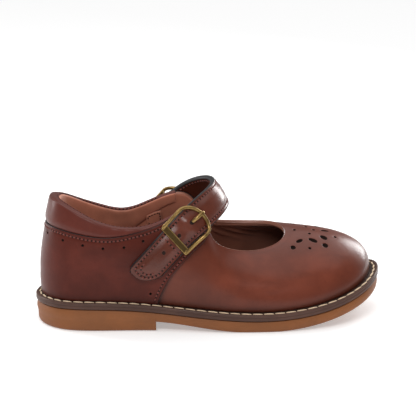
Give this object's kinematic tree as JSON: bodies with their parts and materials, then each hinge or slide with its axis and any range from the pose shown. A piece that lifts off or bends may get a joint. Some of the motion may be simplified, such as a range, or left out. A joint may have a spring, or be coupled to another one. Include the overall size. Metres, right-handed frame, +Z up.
{
  "type": "mary jane shoe",
  "caption": "Child's brown leather mary jane, right foot, with a strap between two brass buckles, a padded collar and a stitched gum rubber sole.",
  "frame": {"origin": "centre of the shoe's plan, on the plane that its heel and forefoot stand on", "axes": "+X from the heel to the toe, +Y to the inner side of the foot, +Z up"},
  "size_m": [0.17, 0.0692, 0.0688],
  "materials": {
    "gum_rubber": "matte gum rubber, caramel brown",
    "welt_rubber": "matte, dark taupe",
    "insole_leather": "dull smooth sock leather",
    "vamp_leather": "smooth polished leather, burnished",
    "quarter_leather": "smooth polished leather, burnished",
    "collar_leather": "soft padded leather",
    "strap_leather": "smooth polished leather with dark painted edges",
    "antique_brass": "antique brass, darkened in its recesses"
  },
  "bodies": {
    "root": {"outsole": "gum_rubber", "welt": "welt_rubber", "insole": "insole_leather", "upper": "vamp_leather", "quarter": "quarter_leather", "collar": "collar_leather", "strap": "strap_leather", "buckle_lateral": "antique_brass", "buckle_medial": "antique_brass", "prong_lateral": "antique_brass", "prong_medial": "antique_brass"}
  },
  "joints": []
}
